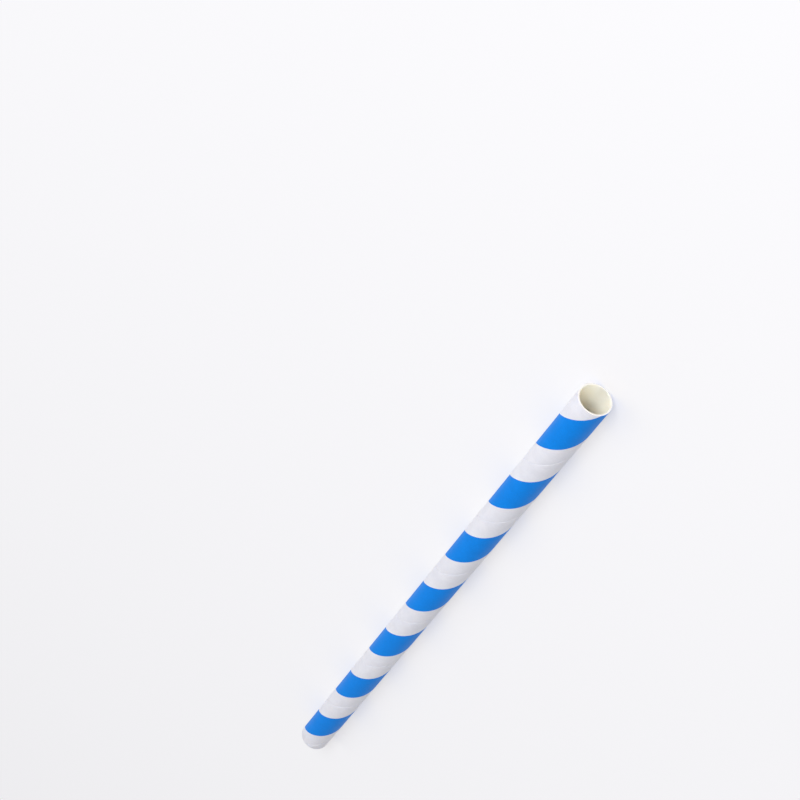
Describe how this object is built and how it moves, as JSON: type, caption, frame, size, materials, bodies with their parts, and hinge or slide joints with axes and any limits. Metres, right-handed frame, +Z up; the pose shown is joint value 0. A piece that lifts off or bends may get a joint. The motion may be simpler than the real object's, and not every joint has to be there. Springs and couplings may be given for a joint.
{
  "type": "paper drinking straw",
  "caption": "Straight paper drinking straw: a stiff, spirally wound paper tube with square-cut open ends and a spiral stripe print.",
  "frame": {"origin": "below the middle of the straw's length, on the lowest line of the tube as it lies on its side", "axes": "+X along the straw's axis, towards the drinking end; +Z up, square to the axis"},
  "size_m": [0.197, 0.008, 0.008],
  "materials": {
    "coated_paper": "smooth white coated paper with a printed blue spiral stripe"
  },
  "bodies": {
    "root": {"straw_tube": "coated_paper"}
  },
  "joints": []
}
